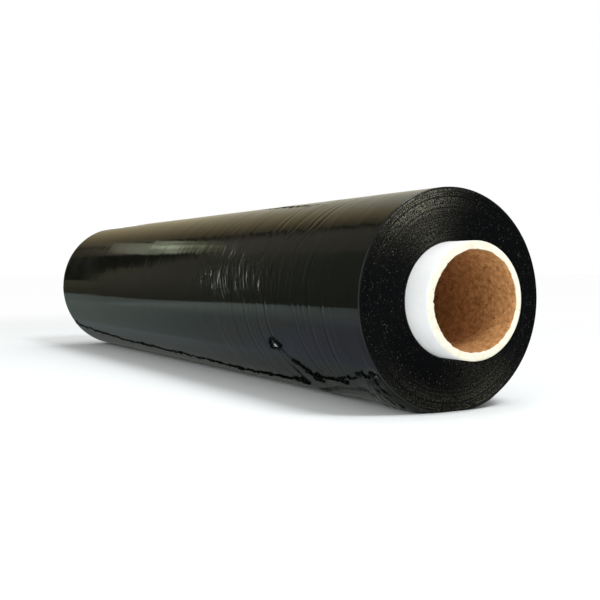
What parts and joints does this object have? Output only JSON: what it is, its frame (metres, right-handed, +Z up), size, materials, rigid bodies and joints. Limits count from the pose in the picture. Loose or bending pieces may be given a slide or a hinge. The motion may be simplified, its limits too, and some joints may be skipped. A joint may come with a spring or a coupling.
{
  "type": "stretch wrap roll",
  "caption": "Wound roll of glossy black stretch film on a paper core tube that stands out at both ends, for wrapping goods by hand or on a dispenser.",
  "frame": {"origin": "middle of the roll's length, on the surface that it lies on", "axes": "+X along the roll's axis, towards the end with the gathered tail; -Y towards the torn edge; +Z up"},
  "size_m": [0.534, 0.111, 0.1102],
  "materials": {
    "core_board": "white paper outside, cream cut ends, brown kraft paper inside",
    "film": "glossy black film, finely creased round the roll, duller on the wound ends"
  },
  "bodies": {
    "root": {"core": "core_board", "film_roll": "film"}
  },
  "joints": []
}
